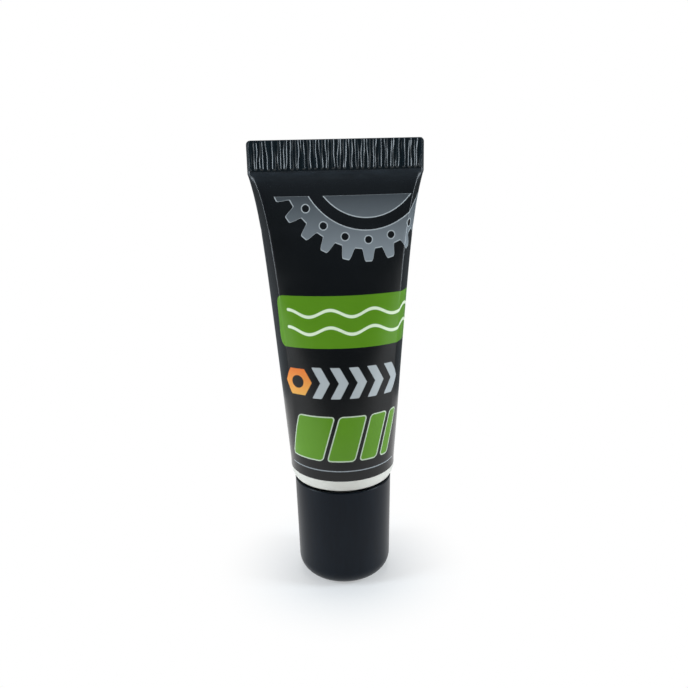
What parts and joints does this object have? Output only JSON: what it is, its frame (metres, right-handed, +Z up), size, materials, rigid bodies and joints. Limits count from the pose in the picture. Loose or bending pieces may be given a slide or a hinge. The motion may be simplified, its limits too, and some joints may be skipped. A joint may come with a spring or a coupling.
{
  "type": "chain oil squeeze tube",
  "caption": "Small plastic squeeze tube for chain oil, round at the shoulder and sealed flat with ribs at its end, with a dropper nozzle, standing on its screw cap.",
  "frame": {"origin": "centre of the cap's flat foot, on the surface that the tube stands on", "axes": "+Z up from the cap to the end seal, +X along the seal, the printed front towards -Y"},
  "size_m": [0.03, 0.0194, 0.0808],
  "materials": {
    "printed_sleeve": "gloss black printed polyethylene sleeve with a green field",
    "white_head": "white moulded polyethylene, satin",
    "black_cap": "black moulded polypropylene, semi-gloss"
  },
  "bodies": {
    "cap": {"screw_cap": "black_cap"},
    "tube": {"tube_sleeve": "printed_sleeve", "tube_head": "white_head"}
  },
  "joints": [
    {"name": "cap_off", "type": "slide", "parent": "cap", "child": "tube", "axis": [0, 0, 1], "range_m": [0, 0.024]}
  ]
}
